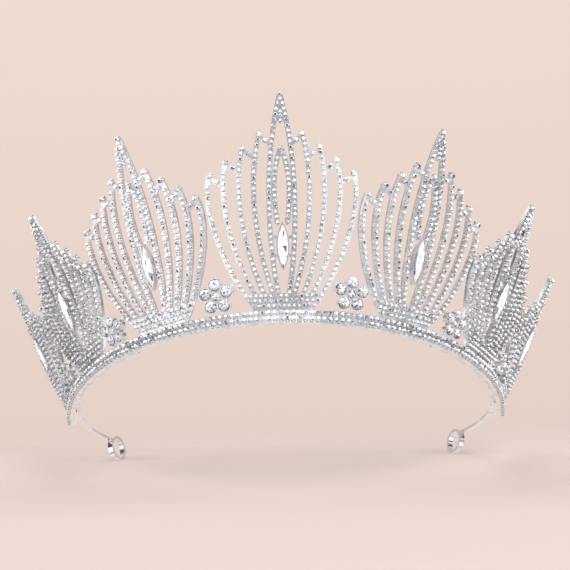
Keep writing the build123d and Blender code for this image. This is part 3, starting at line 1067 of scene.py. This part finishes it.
def paper_material(name, colour, glow_strength):
    """Paper that shows only from the side it faces, in its own colour with soft shadows."""
    material = bpy.data.materials.new(name)
    material.use_nodes = True
    nodes, link = material.node_tree.nodes, material.node_tree.links.new
    surface = nodes["Principled BSDF"]
    surface.inputs["Base Color"].default_value = (*(0.35 * c for c in colour), 1)
    surface.inputs["Roughness"].default_value = 0.9
    surface.inputs["Specular IOR Level"].default_value = 0.1
    glow = nodes.new("ShaderNodeEmission")
    glow.inputs["Color"].default_value = (*colour, 1)
    glow.inputs["Strength"].default_value = glow_strength
    both = nodes.new("ShaderNodeAddShader")
    link(surface.outputs["BSDF"], both.inputs[0])
    link(glow.outputs["Emission"], both.inputs[1])
    path = nodes.new("ShaderNodeLightPath")
    seen = nodes.new("ShaderNodeMixShader")
    link(path.outputs["Is Camera Ray"], seen.inputs["Fac"])
    link(surface.outputs["BSDF"], seen.inputs[1])
    link(both.outputs["Shader"], seen.inputs[2])
    geometry = nodes.new("ShaderNodeNewGeometry")
    hidden = nodes.new("ShaderNodeMath")
    hidden.operation = "MAXIMUM"
    link(geometry.outputs["Backfacing"], hidden.inputs[0])
    link(path.outputs["Is Glossy Ray"], hidden.inputs[1])
    clear = nodes.new("ShaderNodeBsdfTransparent")
    chooser = nodes.new("ShaderNodeMixShader")
    link(hidden.outputs[0], chooser.inputs["Fac"])
    link(seen.outputs["Shader"], chooser.inputs[1])
    link(clear.outputs["BSDF"], chooser.inputs[2])
    link(chooser.outputs["Shader"], nodes["Material Output"].inputs["Surface"])
    return material, hidden


def add_softbox(name, place, aim, size, power, colour=(1, 1, 1)):
    data = bpy.data.lights.new(name, "AREA")
    data.shape = "RECTANGLE"
    data.size, data.size_y = size
    data.energy = power
    data.color = colour
    lamp = bpy.data.objects.new(name, data)
    bpy.context.scene.collection.objects.link(lamp)
    lamp.location = place
    lamp.rotation_euler = (Vector(aim) - Vector(place)).to_track_quat("-Z", "Y").to_euler()
    lamp.visible_glossy = False


class TIARA_OT_stage(bpy.types.Operator):
    """Set up the paper, the softboxes, the surroundings and the camera"""

    bl_idname = "tiara.stage"
    bl_label = "Stage"

    def execute(self, context):
        scene = context.scene
        settings = scene.tiara_stage
        scene.view_settings.view_transform = "Standard"
        self.add_papers(settings)
        self.add_world(scene, settings)
        power = settings.lamp_power
        add_softbox("Top softbox", (-0.1, -0.5, 0.85), (0, 0, 0.02), (0.6, 0.45), power)
        ahead, centre = (0.25, -1.05, 0.1), (0, 0, 0.03)
        add_softbox("Front softbox", ahead, centre, (0.35, 0.35), power * 1.55)
        for side, name in ((-1, "Left softbox"), (1, "Right softbox")):
            end = (0.07 * side, 0, 0.03)
            place = (0.9 * side, -0.35, 0.35)
            add_softbox(name, place, end, (0.3, 0.3), power * 1.5)
        place = (0.1, 0.75, 0.6)
        add_softbox("Rear softbox", place, (0, 0, 0.02), (0.6, 0.3), power * 0.5)
        self.add_camera(scene, settings)
        return {"FINISHED"}

    def add_papers(self, settings):
        floor = start(bpy.ops.mesh.primitive_plane_add, size=6.0, location=(0, 0, -0.0001))
        floor.name = "Floor"
        paint(floor, paper_material("Floor paper", settings.paper, 0.34)[0])

        # The sheet that the leaning tiara lies on, through the bottoms of the two eyes
        sheet = start(bpy.ops.mesh.primitive_plane_add, size=0.9, location=(0, 0, 0))
        sheet.name = "Leaning_sheet"
        sheet.data.transform(
            Matrix.Translation((0, 0.031, -0.0005))
            @ Matrix.Rotation(settings.sheet_lean, 4, "X")
            @ Matrix.Translation((0, -0.39, 0))
        )
        # The sheet's colour is painted shade: the paper, darker than the floor paper.
        material, hidden = paper_material("Sheet paper", settings.sheet, 0.37)
        nodes, link = material.node_tree.nodes, material.node_tree.links.new
        place = nodes.new("ShaderNodeTexCoord")
        split = nodes.new("ShaderNodeSeparateXYZ")
        link(place.outputs["Object"], split.inputs["Vector"])
        fade = nodes.new("ShaderNodeMapRange")
        fade.interpolation_type = "SMOOTHSTEP"
        fade.inputs["From Min"].default_value = 0.035
        fade.inputs["From Max"].default_value = 0.075
        link(split.outputs["Y"], fade.inputs["Value"])
        gone = nodes.new("ShaderNodeMath")
        gone.operation = "MAXIMUM"
        link(hidden.outputs[0], gone.inputs[0])
        link(fade.outputs["Result"], gone.inputs[1])
        # Seen only from below the floor, as the photo's lens is, so it hides nothing from above
        geometry = nodes.new("ShaderNodeNewGeometry")
        toward = nodes.new("ShaderNodeSeparateXYZ")
        link(geometry.outputs["Incoming"], toward.inputs["Vector"])
        over = nodes.new("ShaderNodeMath")
        over.operation = "GREATER_THAN"
        over.inputs[1].default_value = 0.0
        link(toward.outputs["Z"], over.inputs[0])
        unseen = nodes.new("ShaderNodeMath")
        unseen.operation = "MAXIMUM"
        link(gone.outputs[0], unseen.inputs[0])
        link(over.outputs[0], unseen.inputs[1])
        for socket in [output.to_socket for output in hidden.outputs[0].links]:
            if socket.node != gone:
                link(unseen.outputs[0], socket)
        paint(sheet, material)

    def add_world(self, scene, settings):
        """Even light for matt surfaces, a studio of soft patches for gloss, and paper behind that is
        painted lighter towards the top.
        """
        world = bpy.data.worlds.new("Studio")
        world.use_nodes = True
        scene.world = world
        nodes, link = world.node_tree.nodes, world.node_tree.links.new
        place = nodes.new("ShaderNodeTexCoord")
        split = nodes.new("ShaderNodeSeparateXYZ")
        link(place.outputs["Generated"], split.inputs["Vector"])

        patches = nodes.new("ShaderNodeTexNoise")
        patches.inputs["Scale"].default_value = 3.6
        patches.inputs["Detail"].default_value = 1.0
        link(place.outputs["Generated"], patches.inputs["Vector"])
        room = ramp(
            nodes,
            (
                (0.34, (0.02, 0.02, 0.025)),
                (0.4, (0.3, 0.305, 0.32)),
                (0.45, (1.0, 1.0, 1.0)),
                (0.6, (1.25, 1.25, 1.26)),
            ),
        )
        link(patches.outputs["Fac"], room.inputs["Fac"])
        ahead = nodes.new("ShaderNodeVectorMath")
        ahead.operation = "DOT_PRODUCT"
        ahead.inputs[1].default_value = (0.0, -0.89, -0.46)
        link(place.outputs["Generated"], ahead.inputs[0])
        gap = nodes.new("ShaderNodeMapRange")
        gap.interpolation_type = "SMOOTHSTEP"
        gap.inputs["From Min"].default_value = 0.93
        gap.inputs["From Max"].default_value = 0.985
        gap.inputs["To Max"].default_value = 0.5
        link(ahead.outputs["Value"], gap.inputs["Value"])
        dimmed = nodes.new("ShaderNodeMix")
        dimmed.data_type = "RGBA"
        dimmed.inputs["B"].default_value = (0.22, 0.22, 0.24, 1)
        link(gap.outputs["Result"], dimmed.inputs["Factor"])
        link(room.outputs["Color"], dimmed.inputs["A"])
        wide = nodes.new("ShaderNodeMath")
        wide.operation = "ABSOLUTE"
        link(split.outputs["X"], wide.inputs[0])
        side = nodes.new("ShaderNodeMapRange")
        side.inputs["From Min"].default_value = 0.5
        side.inputs["From Max"].default_value = 0.75
        link(wide.outputs[0], side.inputs["Value"])
        above = nodes.new("ShaderNodeMapRange")
        above.inputs["From Min"].default_value = 0.05
        above.inputs["From Max"].default_value = 0.3
        above.inputs["To Max"].default_value = 0.9
        link(split.outputs["Z"], above.inputs["Value"])
        corner = nodes.new("ShaderNodeMath")
        corner.operation = "MULTIPLY"
        link(side.outputs["Result"], corner.inputs[0])
        link(above.outputs["Result"], corner.inputs[1])
        walls = nodes.new("ShaderNodeMix")
        walls.data_type = "RGBA"
        walls.inputs["B"].default_value = (0.05, 0.05, 0.055, 1)
        link(corner.outputs[0], walls.inputs["Factor"])
        link(dimmed.outputs["Result"], walls.inputs["A"])
        behind = nodes.new("ShaderNodeMapRange")
        behind.inputs["From Min"].default_value = -0.1
        behind.inputs["From Max"].default_value = 0.25
        behind.inputs["To Max"].default_value = 0.75
        link(split.outputs["Y"], behind.inputs["Value"])
        gloss_colour = nodes.new("ShaderNodeMix")
        gloss_colour.data_type = "RGBA"
        gloss_colour.inputs["B"].default_value = (*settings.paper, 1)
        link(behind.outputs["Result"], gloss_colour.inputs["Factor"])
        link(walls.outputs["Result"], gloss_colour.inputs["A"])

        gloss = nodes["Background"]
        link(gloss_colour.outputs["Result"], gloss.inputs["Color"])
        even = nodes.new("ShaderNodeBackground")
        even.inputs["Color"].default_value = (0.9, 0.9, 0.91, 1)
        # Painted light: camera rays see the paper painted lighter towards the top, from the paper colour
        # low down to the far paper colour high up.
        rise = nodes.new("ShaderNodeMapRange")
        rise.inputs["From Min"].default_value = 0.38
        rise.inputs["From Max"].default_value = 0.54
        link(split.outputs["Z"], rise.inputs["Value"])
        paper = nodes.new("ShaderNodeMix")
        paper.data_type = "RGBA"
        paper.inputs["A"].default_value = (*settings.paper, 1)
        paper.inputs["B"].default_value = (*settings.paper_top_painted_light, 1)
        link(rise.outputs["Result"], paper.inputs["Factor"])
        sky = nodes.new("ShaderNodeBackground")
        link(paper.outputs["Result"], sky.inputs["Color"])

        path = nodes.new("ShaderNodeLightPath")
        glossy = nodes.new("ShaderNodeMixShader")
        link(path.outputs["Is Glossy Ray"], glossy.inputs["Fac"])
        link(even.outputs["Background"], glossy.inputs[1])
        link(gloss.outputs["Background"], glossy.inputs[2])
        seen = nodes.new("ShaderNodeMixShader")
        link(path.outputs["Is Camera Ray"], seen.inputs["Fac"])
        link(glossy.outputs["Shader"], seen.inputs[1])
        link(sky.outputs["Background"], seen.inputs[2])
        link(seen.outputs["Shader"], nodes["World Output"].inputs["Surface"])

    def add_camera(self, scene, settings):
        rise, turn = settings.camera_rise, settings.camera_turn
        forward = Vector(
            (math.sin(turn) * math.cos(rise), math.cos(turn) * math.cos(rise), math.sin(rise))
        )
        right = forward.cross(Vector((0, 0, 1))).normalized()
        up = right.cross(forward)
        rolled = Matrix.Rotation(settings.camera_roll, 3, forward)
        right, up = rolled @ right, rolled @ up
        data = bpy.data.cameras.new("Camera")
        data.lens = 205.4
        data.sensor_width = 36.0
        data.clip_start = 0.01
        camera = bpy.data.objects.new("Camera", data)
        scene.collection.objects.link(camera)
        turned = Matrix((right, up, -forward)).transposed().to_4x4()
        place = up * 0.0458 - right * 0.0003 - forward * settings.camera_distance
        camera.matrix_world = Matrix.Translation(place) @ turned
        scene.camera = camera


class TIARA_PT_panel(bpy.types.Panel):
    """Sizes, finishes and build steps of the tiara"""

    bl_label = "Bridal Tiara"
    bl_idname = "TIARA_PT_panel"
    bl_space_type = "VIEW_3D"
    bl_region_type = "UI"
    bl_category = "Tiara"

    def draw(self, context):
        layout = self.layout
        for settings in ("tiara_stones", "tiara_finish", "tiara_stage"):
            group = getattr(context.scene, settings)
            box = layout.box()
            for name in group.__annotations__:
                box.prop(group, name)
        for operator in OPERATORS:
            layout.operator(operator.bl_idname)


OPERATORS = (
    TIARA_OT_metal,
    TIARA_OT_band_rows,
    TIARA_OT_fan_stones,
    TIARA_OT_navettes,
    TIARA_OT_flowers,
    TIARA_OT_stage,
)
GROUPS = (TiaraStoneSettings, TiaraFinishSettings, TiaraStageSettings)


def register():
    for item in (*GROUPS, *OPERATORS, TIARA_PT_panel):
        bpy.utils.register_class(item)
    bpy.types.Scene.tiara_stones = bpy.props.PointerProperty(type=TiaraStoneSettings)
    bpy.types.Scene.tiara_finish = bpy.props.PointerProperty(type=TiaraFinishSettings)
    bpy.types.Scene.tiara_stage = bpy.props.PointerProperty(type=TiaraStageSettings)


def unregister():
    del bpy.types.Scene.tiara_stones
    del bpy.types.Scene.tiara_finish
    del bpy.types.Scene.tiara_stage
    for item in (TIARA_PT_panel, *reversed(OPERATORS), *reversed(GROUPS)):
        bpy.utils.unregister_class(item)


def main():
    register()
    bpy.ops.tiara.metal()
    bpy.ops.tiara.band_rows()
    bpy.ops.tiara.fan_stones()
    bpy.ops.tiara.navettes()
    bpy.ops.tiara.flowers()
    bpy.ops.tiara.stage()


if __name__ == "__main__":
    main()
